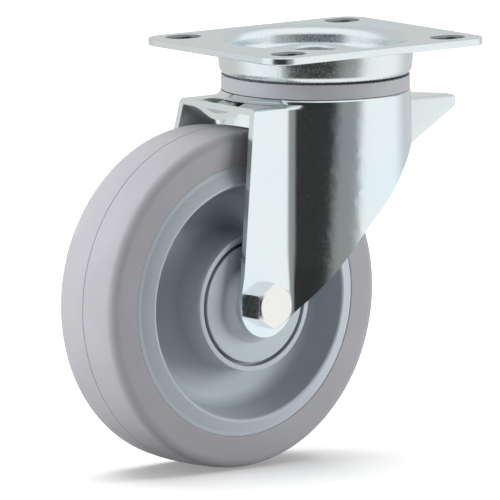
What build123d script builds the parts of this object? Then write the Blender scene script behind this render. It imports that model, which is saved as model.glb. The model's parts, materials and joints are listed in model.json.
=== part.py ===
from build123d import *
import math
import os

# Swivel castor with a slotted top plate, a one-piece pressed fork and a rubber-tyred wheel.
# Millimetres. The origin is the centre of the plate's top face, on the swivel axis.
# +Z is up, the wheel trails towards -X, and the axle bolt's head is on the -Y side, called near.

os.makedirs("parts", exist_ok=True)

# Overall sizes
total_height = 197.5
tyre_width = 42
trail = 59

# Clearances
running_gap = 0.15
turning_gap = 0.3
fit_gap = 0.02
bolt_gap = 0.2
tyre_gap = 3.5

# Top plate
plate_length = 130
plate_width = 105
plate_thickness = 3.5
plate_corner = 12
plate_edge = 0.5
bolt_spacing_x = 96
bolt_spacing_y = 79
slot_width = 11
slot_length = 16

# Drawn cup in the middle of the plate
cup_overhang = 1
cup_depth = 16
cup_wall = 4
cup_corner = 4
cup_throat = 1.5
cup_draft = 1
cup_foot = 2
dish_lip = 4
floor_depth = 7.5
floor_slope = 4
track_shoulder = 6

# Swivel head
upper_ball = 9
upper_count = 22
lower_ball = 8
lower_count = 14
race_grip = 0.5
ball_room = 0.7
seal_wall = 3.3
seal_inset = 0.5
seal_gap = 1
lower_track_inset = 2.2
lower_cup_sheet = 3
lower_cup_rim = 4
lower_cup_corner = 2.4
kingpin_radius = 13.2
kingpin_wall = 3
kingpin_lip = 4.3
kingpin_lip_height = 2.5
kingpin_round = 1.5
kingpin_room = 1.6

# Pressed fork
fork_sheet = 3
crown_radius = 45
crown_rise = 2.5
crown_edge = 1.5
shelf_half_width = 28
shelf_front = 59
fold_radius = 2.5
neck_overlap = 0.5
neck_radius = 8
leg_flare = 9
leg_lean = 7
flare_margin = 1
tip_radius = 15.4
knee_reach = 45
knee_rise = 27.5
bow_x = 8
bow_drop = 46
flank_x = 29.5
flank_drop = 27
rear_drop = 22
waste_length = 60

# Dip, window and nose of the fork
dip_depth = 4.5
dip_floor = 4
dip_half_width = 21
window_length = 7
window_width = 8
window_inset = 7
window_y = 12
nose_reach = 82
nose_root = 40
nose_root_half = 18
nose_tip_half = 4
nose_root_drop = 6.5
nose_tip_drop = 9.5
nose_root_foot = 30.5
nose_tip_foot = 15
nose_edge = 2

# Wheel
tyre_shoulder = 5
tread_crown = 1.2
tyre_depth = 19
tyre_bevel = 4
tyre_bevel_rise = 3.2
rim_lip_drop = 5.5
rim_lip_reach = 25
rim_lip_edge = 1
rim_lip_round = 0.5
rim_wall = 5
web_thickness = 9
bowl_fillet = 8
fillet_share = 0.45
hub_radius = 32.5
hub_half_length = 28
hub_ring = 2.5
hub_draft = 1

# Wheel bearings, two deep-groove ball bearings
bearing_bore = 20
bearing_outside = 47
bearing_width = 14
bearing_shoulder = 1.8
bearing_ball = 7.9
bearing_count = 8
bearing_ring = 3.6
cage_thickness = 1.5
cage_half_width = 5
bearing_seal = 1
bearing_seal_inset = 0.2

# Axle
axle_radius = 6
sleeve_gap = 0.1
guard_thickness = 3
guard_step = 1
guard_gap = 1.7
guard_boss_root = 19
guard_boss_tip = 14
head_across_flats = 19
head_turn = 30
head_height = 7.5
head_chamfer = 30
head_rim = 0.5
bolt_point = 1
nut_height = 8.5
nut_collar = 3.5
nut_collar_radius = 8.6
insert_radius = 7.6
insert_height = 2.5
bolt_overhang = 2.5

# Heights of the swivel head, worked out from the sizes above
head_gap = upper_ball - 2 * race_grip
crown_top = -cup_depth - head_gap
crown_under = crown_top - fork_sheet
shelf_top = crown_top - crown_rise
upper_ball_z = -cup_depth - head_gap / 2
lower_ball_z = crown_under - lower_ball / 2 + race_grip
lower_cup_top = lower_ball_z - lower_ball / 2 + race_grip
lower_cup_under = lower_cup_top - lower_cup_sheet

# Radii of the swivel head
upper_pitch = crown_radius - seal_inset - seal_wall - ball_room - upper_ball / 2
lower_pitch = kingpin_radius + kingpin_room + lower_track_inset + lower_ball / 2
cup_radius = crown_radius + cup_overhang
floor_radius = upper_pitch - track_shoulder

# Wheel and axle: the wheel fills the height left under the dip in the fork's shelf
wheel_room = total_height + shelf_top - fork_sheet - dip_depth
wheel_radius = (wheel_room - tyre_gap) / 2
axle_x = -trail
axle_z = wheel_radius - total_height
tyre_seat = wheel_radius - tyre_depth
rim_line = tyre_seat + tyre_bevel_rise
rim_lip_radius = tyre_seat - rim_lip_drop
bearing_centre = hub_half_length - guard_thickness - guard_step - bearing_width / 2
sleeve_radius = bearing_bore / 2 - sleeve_gap

# Legs of the fork
leg_outside = shelf_half_width + leg_flare
leg_inside = leg_outside - fork_sheet
flare_level = axle_z + guard_boss_tip + flare_margin
flare_height = shelf_top - flare_level
rear_z = crown_top - rear_drop

# Where the fold along the shelf starts: just inside the place where the neck leaves the crown
neck_centre = crown_radius + neck_radius
neck_run = math.sqrt(neck_centre ** 2 - (shelf_half_width + neck_radius) ** 2)
neck_start = neck_run * crown_radius / neck_centre - neck_overlap

axle_axis = Axis((axle_x, 0, axle_z), (0, 1, 0))
axle_section = Plane(origin=(axle_x, 0, axle_z), x_dir=(0, 1, 0), z_dir=(1, 0, 0))
sides = (("near", -1), ("far", 1))


def axle_plane(across):
    """Plane square to the axle, facing +Y, at a place along it."""
    return Plane(origin=(axle_x, across, axle_z), x_dir=(1, 0, 0), z_dir=(0, 1, 0))


def save(piece, name):
    """Label a finished piece and write its STEP file."""
    piece.part.label = name
    export_step(piece.part, "parts/" + name + ".step")


def axle_ring(inner, outer, start, end):
    """Plain ring round the axle, between two places along it."""
    with BuildSketch(axle_section) as section:
        with Locations(((start + end) / 2, (inner + outer) / 2)):
            Rectangle(end - start, outer - inner)
    revolve(section.sketch, axis=axle_axis)


def tangent_point(start, centre, radius, turn):
    """Point where a line from start touches a circle, on the side that turn gives."""
    away = math.hypot(centre[0] - start[0], centre[1] - start[1])
    heading = math.atan2(centre[1] - start[1], centre[0] - start[0])
    heading += turn * math.asin(radius / away)
    reach = math.sqrt(away ** 2 - radius ** 2)
    return (start[0] + reach * math.cos(heading), start[1] + reach * math.sin(heading))


# Top plate: flat sheet with a round cup drawn down, whose foot carries the upper ball track
trough_radius = cup_radius - cup_wall
trough_depth = cup_depth - cup_wall
with BuildPart() as top_plate:
    with BuildSketch(Plane.XY.offset(-plate_thickness)):
        RectangleRounded(plate_length, plate_width, plate_corner)
    extrude(amount=plate_thickness)
    outline_edges = top_plate.edges().filter_by(Axis.Z, reverse=True)
    fillet(outline_edges, plate_edge)
    with BuildSketch(Plane.XY.offset(-plate_thickness)):
        Circle(cup_radius)
    extrude(amount=plate_thickness, mode=Mode.SUBTRACT)
    with BuildSketch(Plane.XZ):
        with BuildLine():
            upper = FilletPolyline(
                (cup_radius + cup_foot, 0),
                (trough_radius, 0),
                (trough_radius - cup_draft, -trough_depth),
                (floor_radius + floor_slope, -trough_depth),
                (floor_radius, -floor_depth),
                (kingpin_radius + fit_gap, -floor_depth),
                radius=[dish_lip, dish_lip, cup_foot, cup_foot],
            )
            under = FilletPolyline(
                (kingpin_radius + fit_gap, -floor_depth - plate_thickness),
                (floor_radius - cup_draft, -floor_depth - plate_thickness),
                (floor_radius + cup_draft, -cup_depth),
                (cup_radius, -cup_depth),
                (cup_radius, -plate_thickness),
                (cup_radius + cup_foot, -plate_thickness),
                radius=[cup_draft, cup_draft, cup_corner, cup_throat],
            )
            Line(upper @ 1, under @ 0)
            Line(under @ 1, upper @ 0)
        make_face()
    revolve(axis=Axis.Z)
    with BuildSketch():
        with GridLocations(bolt_spacing_x, bolt_spacing_y, 2, 2):
            SlotOverall(slot_length, slot_width)
    extrude(amount=-plate_thickness, mode=Mode.SUBTRACT)
    with Locations((0, 0, upper_ball_z)):
        Torus(upper_pitch, upper_ball / 2 + running_gap, mode=Mode.SUBTRACT)
save(top_plate, "top_plate")

# Kingpin: hollow rivet that clamps the plate and the lower cup together
with BuildPart() as kingpin:
    with BuildSketch(Plane.XZ):
        with BuildLine():
            Polyline(
                (kingpin_radius - kingpin_wall, kingpin_lip_height - floor_depth),
                (kingpin_radius + kingpin_lip, kingpin_lip_height - floor_depth),
                (kingpin_radius + kingpin_lip, -floor_depth),
                (kingpin_radius, -floor_depth),
                (kingpin_radius, lower_cup_under),
                (kingpin_radius + kingpin_lip, lower_cup_under),
                (kingpin_radius + kingpin_lip, lower_cup_under - kingpin_lip_height),
                (kingpin_radius - kingpin_wall, lower_cup_under - kingpin_lip_height),
                close=True,
            )
        make_face()
    revolve(axis=Axis.Z)
    rims = kingpin.edges().filter_by(GeomType.CIRCLE).sort_by(Axis.Z)
    fillet(rims[:2] + rims[-2:], kingpin_round)
save(kingpin, "kingpin")

# Lower cup: pressed ring riveted under the fork's crown, with the lower ball track
lower_rim_inside = lower_pitch + lower_ball / 2 + turning_gap
with BuildPart() as lower_race_cup:
    with BuildSketch(Plane.XZ):
        with BuildLine():
            Polyline(
                (kingpin_radius + fit_gap, lower_cup_under),
                (lower_rim_inside + lower_cup_sheet, lower_cup_under),
                (lower_rim_inside + lower_cup_sheet, lower_cup_top + lower_cup_rim),
                (lower_rim_inside, lower_cup_top + lower_cup_rim),
                (lower_rim_inside, lower_cup_top),
                (kingpin_radius + fit_gap, lower_cup_top),
                close=True,
            )
        make_face()
    revolve(axis=Axis.Z)
    underside = lower_race_cup.edges().filter_by(GeomType.CIRCLE).group_by(Axis.Z)[0]
    foot = underside.sort_by(SortBy.RADIUS)[-1]
    fillet(foot, lower_cup_corner)
    with Locations((0, 0, lower_ball_z)):
        Torus(lower_pitch, lower_ball / 2 + running_gap, mode=Mode.SUBTRACT)
save(lower_race_cup, "lower_race_cup")

# Two rings of loose balls, above and below the fork's crown
with BuildPart() as upper_balls:
    with Locations((0, 0, upper_ball_z)):
        with PolarLocations(upper_pitch, upper_count):
            Sphere(upper_ball / 2)
save(upper_balls, "upper_balls")

with BuildPart() as lower_balls:
    with Locations((0, 0, lower_ball_z)):
        with PolarLocations(lower_pitch, lower_count):
            Sphere(lower_ball / 2)
save(lower_balls, "lower_balls")


# Fork: one pressed sheet. Its outside and inside are lofted and the second is taken from the first
def shell_outline(level, flare, inset):
    """Plan of the drawn shell at one level: two flat flanks that run into a round crown."""
    half_width = shelf_half_width + leg_flare * flare - inset
    round_radius = crown_radius + leg_lean * flare - inset
    round_centre = -leg_lean * flare
    reach = shelf_front + waste_length
    with BuildSketch(Plane.XY.offset(level)) as outline:
        with Locations((round_centre, 0)):
            Circle(round_radius)
        with Locations((-reach / 2, 0)):
            Rectangle(reach, 2 * half_width)
        corners = outline.vertices().sort_by(Axis.X)[2:4]
        fillet(corners, neck_radius + inset)
    return outline.sketch.face()


front_top = (-shelf_front, shelf_top)
axle_spot = (axle_x, axle_z)
front_touch = tangent_point(front_top, axle_spot, tip_radius, -1)
knee = (axle_x + knee_reach, axle_z + knee_rise)
rear_touch = tangent_point(knee, axle_spot, tip_radius, 1)
tip = (axle_x, axle_z - tip_radius)
profile_reach = nose_reach + fork_sheet


def side_profile():
    """Outline of the fork seen from the side, down to the round tips of its legs."""
    with BuildSketch(Plane.XZ) as profile:
        with BuildLine():
            Line(front_top, front_touch)
            ThreePointArc(front_touch, tip, rear_touch)
            lower_edge = Line(rear_touch, knee)
            flank = Spline(
                knee,
                (bow_x, crown_top - bow_drop),
                (flank_x, crown_top - flank_drop),
                (crown_radius + fork_sheet, rear_z),
                tangents=(lower_edge % 1, (1, 0)),
            )
            Polyline(
                flank @ 1,
                (profile_reach, rear_z),
                (profile_reach, 0),
                (-shelf_front, 0),
                front_top,
            )
        make_face()
    extrude(profile.sketch, amount=profile_reach, both=True, mode=Mode.INTERSECT)


def crown_boss(radius, top, edge):
    """Round crown that stands up out of the shelf."""
    boss_foot = shelf_top - fork_sheet - crown_rise
    with BuildSketch(Plane.XY.offset(boss_foot)) as disc:
        Circle(radius)
    extrude(disc.sketch, amount=top - boss_foot)
    rim = edges().filter_by(GeomType.CIRCLE).group_by(Axis.Z)[-1]
    fillet(rim, edge)


def dip_channel(drop, mode):
    """Channel in the shelf, deepest at its front and running out towards the crown."""
    run_out = shelf_front - crown_radius
    slope = Vector(run_out, 0, dip_depth)
    with BuildSketch(Plane.YZ.offset(-shelf_front)) as mouth:
        with BuildLine():
            hollow = Spline(
                (-dip_half_width, shelf_top - drop),
                (-dip_floor, shelf_top - drop - dip_depth),
                (dip_floor, shelf_top - drop - dip_depth),
                (dip_half_width, shelf_top - drop),
                tangents=((1, 0), (1, 0)),
            )
            Polyline(hollow @ 1, (dip_half_width, crown_top), (-dip_half_width, crown_top), hollow @ 0)
        make_face()
    extrude(mouth.sketch, amount=slope.length, dir=slope.normalized(), mode=mode)


def nose_block(inset, drop, depth):
    """Tapered nose behind the crown, as a solid block."""
    slope = (nose_root_half - nose_tip_half) / (nose_reach - nose_root)
    root_foot = crown_top - nose_root_foot - depth
    tip_foot = crown_top - nose_tip_foot - depth
    with BuildSketch(Plane.XY.offset(root_foot)) as plan:
        with BuildLine():
            Polyline(
                (nose_root, nose_root_half - inset),
                (nose_reach - inset, nose_tip_half + slope * inset - inset),
                (nose_reach - inset, inset - nose_tip_half - slope * inset),
                (nose_root, inset - nose_root_half),
                close=True,
            )
        make_face()
    extrude(plan.sketch, amount=-root_foot)
    with BuildSketch(Plane.XZ) as profile:
        with BuildLine():
            Polyline(
                (nose_root, crown_top - nose_root_drop - drop),
                (nose_reach, crown_top - nose_tip_drop - drop),
                (nose_reach, tip_foot),
                (nose_root, root_foot),
                close=True,
            )
        make_face()
    extrude(profile.sketch, amount=nose_root_half, both=True, mode=Mode.INTERSECT)


lean_per_mm = leg_flare / flare_height
fold_depth = 2 * fold_radius
with BuildPart() as fold_waste:
    with BuildSketch(Plane.YZ.offset(-neck_start)):
        with Locations((0, shelf_top - fold_depth / 2)):
            Rectangle(2 * (shelf_half_width + fold_depth), fold_depth)
        with BuildSketch(mode=Mode.PRIVATE) as kept:
            with BuildLine():
                Polyline(
                    (-shelf_half_width, shelf_top),
                    (shelf_half_width, shelf_top),
                    (shelf_half_width + 2 * fold_depth * lean_per_mm, shelf_top - 2 * fold_depth),
                    (-shelf_half_width - 2 * fold_depth * lean_per_mm, shelf_top - 2 * fold_depth),
                    close=True,
                )
            make_face()
            fillet(kept.vertices().group_by(Axis.Y)[-1], fold_radius)
        add(kept.sketch, mode=Mode.SUBTRACT)
    extrude(amount=-shelf_front - waste_length)

with BuildPart() as shell_outside:
    loft([shell_outline(shelf_top, 0, 0), shell_outline(flare_level, 1, 0)], ruled=True)
    extrude(shell_outline(flare_level, 1, 0), amount=flare_height, dir=(0, 0, -1))
    add(fold_waste.part, mode=Mode.SUBTRACT)

with BuildPart() as shell_inside:
    upper_outline = shell_outline(shelf_top - fork_sheet, 0, fork_sheet)
    loft([upper_outline, shell_outline(flare_level, 1, fork_sheet)], ruled=True)
    extrude(shell_outline(flare_level, 1, fork_sheet), amount=flare_height, dir=(0, 0, -1))
    dip_channel(fork_sheet, Mode.SUBTRACT)

with BuildPart() as crown_outside:
    crown_boss(crown_radius, crown_top, crown_edge)

with BuildPart() as crown_inside:
    crown_boss(crown_radius - fork_sheet, crown_under, crown_edge)

with BuildPart() as nose_outside:
    nose_block(0, 0, 0)
    top_edges = nose_outside.faces().sort_by(Axis.Z)[-1].edges().sort_by(Axis.X)[1:]
    fillet(top_edges, nose_edge)

with BuildPart() as nose_inside:
    nose_block(fork_sheet, fork_sheet, fork_sheet)

with BuildPart() as fork:
    add(shell_outside.part)
    side_profile()
    dip_channel(0, Mode.SUBTRACT)
    add(crown_outside.part)
    add(nose_outside.part)
    add(shell_inside.part, mode=Mode.SUBTRACT)
    add(crown_inside.part, mode=Mode.SUBTRACT)
    add(nose_inside.part, mode=Mode.SUBTRACT)
    with BuildSketch():
        with Locations((window_inset - shelf_front, window_y)):
            Rectangle(window_length, window_width)
    extrude(amount=flare_level, mode=Mode.SUBTRACT)
    with Locations((0, 0, crown_top)):
        Cylinder(kingpin_radius + kingpin_room, flare_height, mode=Mode.SUBTRACT)
    with Locations((0, 0, upper_ball_z)):
        Torus(upper_pitch, upper_ball / 2 + running_gap, mode=Mode.SUBTRACT)
    with Locations((0, 0, lower_ball_z)):
        Torus(lower_pitch, lower_ball / 2 + running_gap, mode=Mode.SUBTRACT)
    with BuildSketch(axle_plane(0)):
        Circle(axle_radius + bolt_gap)
    extrude(amount=leg_outside + fork_sheet, both=True, mode=Mode.SUBTRACT)
save(fork, "fork")

# Seal ring that stands on the crown and hides the upper balls
with BuildPart() as swivel_seal:
    with BuildSketch(Plane.XY.offset(crown_top)):
        Circle(crown_radius - seal_inset)
        Circle(crown_radius - seal_inset - seal_wall, mode=Mode.SUBTRACT)
    extrude(amount=head_gap - seal_gap)
save(swivel_seal, "swivel_seal")

# Tyre: crowned tread, rounded shoulders and flat side faces down to the rim line
tyre_half = tyre_width / 2
seat_half = tyre_half - tyre_bevel
with BuildPart() as tyre:
    with BuildSketch(axle_section):
        with BuildLine():
            tread = ThreePointArc(
                (-tyre_half, wheel_radius - tread_crown),
                (0, wheel_radius),
                (tyre_half, wheel_radius - tread_crown),
            )
            Polyline(
                tread @ 1,
                (tyre_half, rim_line),
                (seat_half, tyre_seat),
                (-seat_half, tyre_seat),
                (-tyre_half, rim_line),
                tread @ 0,
            )
        make_face()
        fillet(vertices().group_by(Axis.Y)[-1], tyre_shoulder)
    revolve(axis=axle_axis)
save(tyre, "tyre")

# Wheel centre: rim with a raised conical lip, dished web and long hub, moulded in one
hub_face = hub_half_length
bore_end = bearing_centre - bearing_width / 2
pocket_end = bearing_centre + bearing_width / 2
bore_radius = bearing_outside / 2 - bearing_shoulder
bowl_top = rim_lip_radius - rim_wall
bowl_foot = hub_radius + hub_draft
bowl_round = min(bowl_fillet, fillet_share * (bowl_top - bowl_foot))
with BuildPart() as wheel_centre:
    with BuildSketch(axle_section):
        for side in (-1, 1):
            with BuildLine():
                rim = FilletPolyline(
                    (side * tyre_half, rim_line),
                    (side * rim_lip_reach, rim_lip_radius + rim_lip_edge),
                    (side * (rim_lip_reach - rim_lip_edge), rim_lip_radius),
                    (side * web_thickness / 2, bowl_top),
                    (side * web_thickness / 2, bowl_foot),
                    (side * hub_face, hub_radius),
                    radius=[rim_lip_round, rim_lip_round, bowl_round, bowl_round],
                )
                Polyline(
                    rim @ 1,
                    (side * hub_face, hub_radius - hub_ring),
                    (side * pocket_end, hub_radius - hub_ring),
                    (side * pocket_end, bearing_outside / 2 + fit_gap),
                    (side * bore_end, bearing_outside / 2 + fit_gap),
                    (side * bore_end, bore_radius),
                    (0, bore_radius),
                    (0, tyre_seat),
                    (side * seat_half, tyre_seat),
                    (side * tyre_half, rim_line),
                )
            make_face()
    revolve(axis=axle_axis)
save(wheel_centre, "wheel_centre")

# Wheel bearings, the same on both sides
ball_pitch = (bearing_bore + bearing_outside) / 4
for side_name, side in sides:
    middle = side * bearing_centre
    start = middle - bearing_width / 2
    end = middle + bearing_width / 2
    track = bearing_ball / 2 + running_gap

    with BuildPart() as inner_ring:
        axle_ring(bearing_bore / 2 + fit_gap, bearing_bore / 2 + bearing_ring, start, end)
        with BuildSketch(axle_section):
            with Locations((middle, ball_pitch)):
                Circle(track)
        revolve(axis=axle_axis, mode=Mode.SUBTRACT)
    save(inner_ring, side_name + "_bearing_inner_ring")

    with BuildPart() as outer_ring:
        axle_ring(bearing_outside / 2 - bearing_ring, bearing_outside / 2, start, end)
        with BuildSketch(axle_section):
            with Locations((middle, ball_pitch)):
                Circle(track)
        revolve(axis=axle_axis, mode=Mode.SUBTRACT)
    save(outer_ring, side_name + "_bearing_outer_ring")

    with BuildPart() as balls:
        with Locations(axle_plane(middle)):
            with PolarLocations(ball_pitch, bearing_count):
                Sphere(bearing_ball / 2)
    save(balls, side_name + "_bearing_balls")

    with BuildPart() as cage:
        axle_ring(
            ball_pitch - cage_thickness / 2,
            ball_pitch + cage_thickness / 2,
            middle - cage_half_width,
            middle + cage_half_width,
        )
        with Locations(axle_plane(middle)):
            with PolarLocations(ball_pitch, bearing_count):
                Cylinder(
                    bearing_ball / 2 + running_gap,
                    bearing_ball,
                    rotation=(0, 90, 0),
                    mode=Mode.SUBTRACT,
                )
    save(cage, side_name + "_bearing_cage")

    seal_inner = bearing_bore / 2 + bearing_ring + turning_gap
    seal_outer = bearing_outside / 2 - bearing_ring - fit_gap
    with BuildPart() as seals:
        for place in (start + bearing_seal_inset, end - bearing_seal_inset - bearing_seal):
            axle_ring(seal_inner, seal_outer, place, place + bearing_seal)
    save(seals, side_name + "_bearing_seals")

# Spacer tube between the two inner rings
with BuildPart() as bearing_spacer:
    axle_ring(
        bearing_bore / 2 + fit_gap,
        bearing_bore / 2 + bearing_ring,
        -bore_end,
        bore_end,
    )
save(bearing_spacer, "bearing_spacer")

# Thread guards: discs in the hub's mouth, with a cone that reaches the fork leg
guard_radius = hub_radius - hub_ring - guard_gap
for side_name, side in sides:
    with BuildPart() as thread_guard:
        with BuildSketch(axle_section):
            with BuildLine():
                Polyline(
                    (side * leg_inside, sleeve_radius + fit_gap),
                    (side * leg_inside, guard_boss_tip),
                    (side * hub_face, guard_boss_root),
                    (side * hub_face, guard_radius),
                    (side * (hub_face - guard_thickness), guard_radius),
                    (side * (hub_face - guard_thickness), bearing_bore / 2 + bearing_ring),
                    (side * pocket_end, bearing_bore / 2 + bearing_ring),
                    (side * pocket_end, sleeve_radius + fit_gap),
                    close=True,
                )
            make_face()
        revolve(axis=axle_axis)
    save(thread_guard, side_name + "_thread_guard")

# Axle sleeve between the legs
with BuildPart() as axle_sleeve:
    axle_ring(axle_radius + bolt_gap / 2, sleeve_radius, -leg_inside, leg_inside)
save(axle_sleeve, "axle_sleeve")


def hexagon(across_flats):
    """Hexagon measured across its flats, with a corner pointing down."""
    RegularPolygon(across_flats / 2, 6, major_radius=False, rotation=head_turn)


def chamfered(across_flats, seat, height, facing):
    """Take the corners off the outer end of a hexagon with a shallow cone."""
    flat_radius = across_flats / 2 - head_rim
    rise = (across_flats - flat_radius) * math.tan(math.radians(head_chamfer))
    with BuildSketch(axle_section) as profile:
        with BuildLine():
            Polyline(
                (seat, 0),
                (seat, across_flats),
                (seat + facing * (height - rise), across_flats),
                (seat + facing * height, flat_radius),
                (seat + facing * height, 0),
                close=True,
            )
        make_face()
    revolve(profile.sketch, axis=axle_axis, mode=Mode.INTERSECT)


# Axle bolt, with its head against the near leg
bolt_end = leg_outside + nut_height + nut_collar + bolt_overhang
with BuildPart() as axle_bolt:
    with BuildSketch(axle_plane(-leg_outside - head_height)):
        hexagon(head_across_flats)
    extrude(amount=head_height)
    chamfered(head_across_flats, -leg_outside, head_height, -1)
    axle_ring(0, axle_radius, -leg_outside, bolt_end)
    tip_edge = axle_bolt.edges().filter_by(GeomType.CIRCLE).sort_by(Axis.Y)[-1]
    chamfer(tip_edge, bolt_point)
save(axle_bolt, "axle_bolt")

# Self-locking nut with its clinched collar, and the insert inside it
nut_seat = leg_outside
with BuildPart() as axle_nut:
    with BuildSketch(axle_plane(nut_seat)):
        hexagon(head_across_flats)
    extrude(amount=nut_height)
    chamfered(head_across_flats, nut_seat, nut_height, 1)
    axle_ring(0, nut_collar_radius, nut_seat, nut_seat + nut_height + nut_collar)
    collar_rim = axle_nut.edges().filter_by(GeomType.CIRCLE).sort_by(Axis.Y)[-1]
    fillet(collar_rim, nut_collar_radius - insert_radius)
    with BuildSketch(axle_plane(nut_seat)):
        Circle(axle_radius + fit_gap)
    extrude(amount=nut_height + nut_collar, mode=Mode.SUBTRACT)
    insert_seat = nut_seat + nut_height + nut_collar - insert_height - running_gap
    with BuildSketch(axle_plane(insert_seat)):
        Circle(insert_radius)
    extrude(amount=insert_height, mode=Mode.SUBTRACT)
save(axle_nut, "axle_nut")

with BuildPart() as nut_insert:
    axle_ring(axle_radius + fit_gap, insert_radius - fit_gap, insert_seat, insert_seat + insert_height)
save(nut_insert, "nut_insert")
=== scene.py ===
"""Looks of a swivel castor with a slotted top plate, a pressed fork and a rubber-tyred wheel.

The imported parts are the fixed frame. Each operator finishes one piece or one group of like pieces,
and the last one sets up the floor, the light and the camera. Sizes are in metres.
"""

import json
import math

import bmesh
import bpy
from bpy.props import FloatProperty, FloatVectorProperty, PointerProperty
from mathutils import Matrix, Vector

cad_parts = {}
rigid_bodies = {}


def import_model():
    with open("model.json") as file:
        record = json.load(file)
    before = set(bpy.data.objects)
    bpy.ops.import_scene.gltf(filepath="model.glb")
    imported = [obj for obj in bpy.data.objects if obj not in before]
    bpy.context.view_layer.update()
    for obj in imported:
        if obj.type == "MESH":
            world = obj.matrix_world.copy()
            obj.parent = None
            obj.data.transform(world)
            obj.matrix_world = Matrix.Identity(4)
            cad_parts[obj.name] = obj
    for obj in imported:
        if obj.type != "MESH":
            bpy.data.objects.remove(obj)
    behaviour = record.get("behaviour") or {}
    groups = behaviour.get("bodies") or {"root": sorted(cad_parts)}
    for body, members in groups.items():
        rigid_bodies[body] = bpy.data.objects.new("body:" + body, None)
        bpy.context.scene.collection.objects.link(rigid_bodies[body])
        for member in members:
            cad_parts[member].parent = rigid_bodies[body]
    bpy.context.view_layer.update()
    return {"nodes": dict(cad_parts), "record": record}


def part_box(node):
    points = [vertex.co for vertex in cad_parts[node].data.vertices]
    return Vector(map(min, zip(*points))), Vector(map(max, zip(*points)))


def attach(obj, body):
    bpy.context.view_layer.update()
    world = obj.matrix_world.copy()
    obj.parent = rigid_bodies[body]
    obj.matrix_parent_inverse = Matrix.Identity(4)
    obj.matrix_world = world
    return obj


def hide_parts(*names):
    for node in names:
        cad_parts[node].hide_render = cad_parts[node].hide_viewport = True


bl_info = {
    "name": "Swivel castor looks",
    "version": (1, 0, 0),
    "blender": (4, 5, 0),
    "location": "3D View > Sidebar > Castor",
    "description": "Finishes the pieces of a swivel castor and sets them on a plain studio floor",
    "category": "Object",
}

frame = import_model()
NODES = frame["nodes"]

# Places read from the frame
TYRE_LOW, TYRE_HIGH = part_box("tyre")
AXLE = Vector(((TYRE_LOW.x + TYRE_HIGH.x) / 2, 0, (TYRE_LOW.z + TYRE_HIGH.z) / 2))
WHEEL_RADIUS = (TYRE_HIGH.z - TYRE_LOW.z) / 2
TYRE_HALF = TYRE_HIGH.y
FLOOR_LEVEL = TYRE_LOW.z
HUB_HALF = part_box("wheel_centre")[1].y
GUARD_LOW, GUARD_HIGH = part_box("far_thread_guard")
GUARD_RADIUS = (GUARD_HIGH.z - GUARD_LOW.z) / 2
LEG_INSIDE = GUARD_HIGH.y
SEAL_LOW, SEAL_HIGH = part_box("swivel_seal")
CROWN_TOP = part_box("fork")[1].z

# How finely curves are cut, and which edges stay sharp
AROUND = 288
ARC_STEP = math.radians(9)
SHARP_ANGLE = math.radians(32)

# A length that counts as none, and the distance under which vertices become one
TINY = 1e-7
WELD = 1e-6


# Makers of the settings' values


def length(name, description, default, **limits):
    """Setting that holds a length in metres."""
    return FloatProperty(
        name=name, description=description, default=default,
        subtype="DISTANCE", unit="LENGTH", **limits)


def degrees(name, description, default):
    """Setting that holds an angle, with its default given in degrees."""
    return FloatProperty(
        name=name, description=description, default=math.radians(default),
        subtype="ANGLE", unit="ROTATION")


def brightness(name, description, default):
    """Setting that holds an amount of light."""
    return FloatProperty(name=name, description=description, default=default, min=0)


def tint(name, description, default):
    """Setting that holds a colour."""
    return FloatVectorProperty(
        name=name, description=description, default=default, subtype="COLOR", size=3)


# Settings


class CastorFinishes(bpy.types.PropertyGroup):
    """Colours of the castor's materials."""

    zinc: tint("Zinc plating", "Bright bluish plating of the pressed steel", (0.72, 0.81, 0.87))
    zinc_warm: tint("Warm zinc", "Slightly yellow patches in the plating", (0.77, 0.81, 0.78))
    # The slot walls' colour is partly the duller sheared steel and partly painted shade, darker than
    # the plating so that the slots read as dark outlines
    sheared_and_shade: tint("Sheared slots with painted shade", "Dull punched walls of the bolt slots", (0.27, 0.295, 0.32))
    bolt: tint("Bolt plating", "Paler plating of the bolt and nut", (0.82, 0.82, 0.81))
    steel: tint("Bearing steel", "Ground steel of the balls and rings", (0.60, 0.61, 0.63))
    rubber: tint("Tyre rubber", "Matt grey elastic rubber", (0.245, 0.246, 0.262))
    wheel: tint(
        "Wheel plastic", "Satin bluish grey of the wheel centre and guards", (0.325, 0.358, 0.392))
    seal: tint("Seal plastic", "Satin warm grey of the swivel seal", (0.25, 0.255, 0.272))
    black: tint("Bearing seal rubber", "Black rubber of the bearing seals", (0.012, 0.012, 0.014))
    insert: tint("Nut insert", "Plain plastic ring of the locking nut", (0.70, 0.73, 0.76))


class CastorTyre(bpy.types.PropertyGroup):
    """Section of the tyre."""

    depth: length("Depth", "From the crown of the tread down to the seat", 0.019, min=0.005)
    bevel: length("Foot bevel", "How much narrower the seat is than the tyre, each side", 0.004)
    bevel_rise: length("Foot rise", "Height of the bevelled foot", 0.0032)
    shoulder: length("Shoulder", "Radius between the tread and the side face", 0.005)
    crown: length("Crown", "Drop of the tread from its middle to its edge", 0.0012)
    line_width: length("Parting line width", "Width of the fine mould line round the tread", 0.0004)
    line_depth: length("Parting line depth", "Depth of the fine mould line round the tread", 0.0003)


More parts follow.
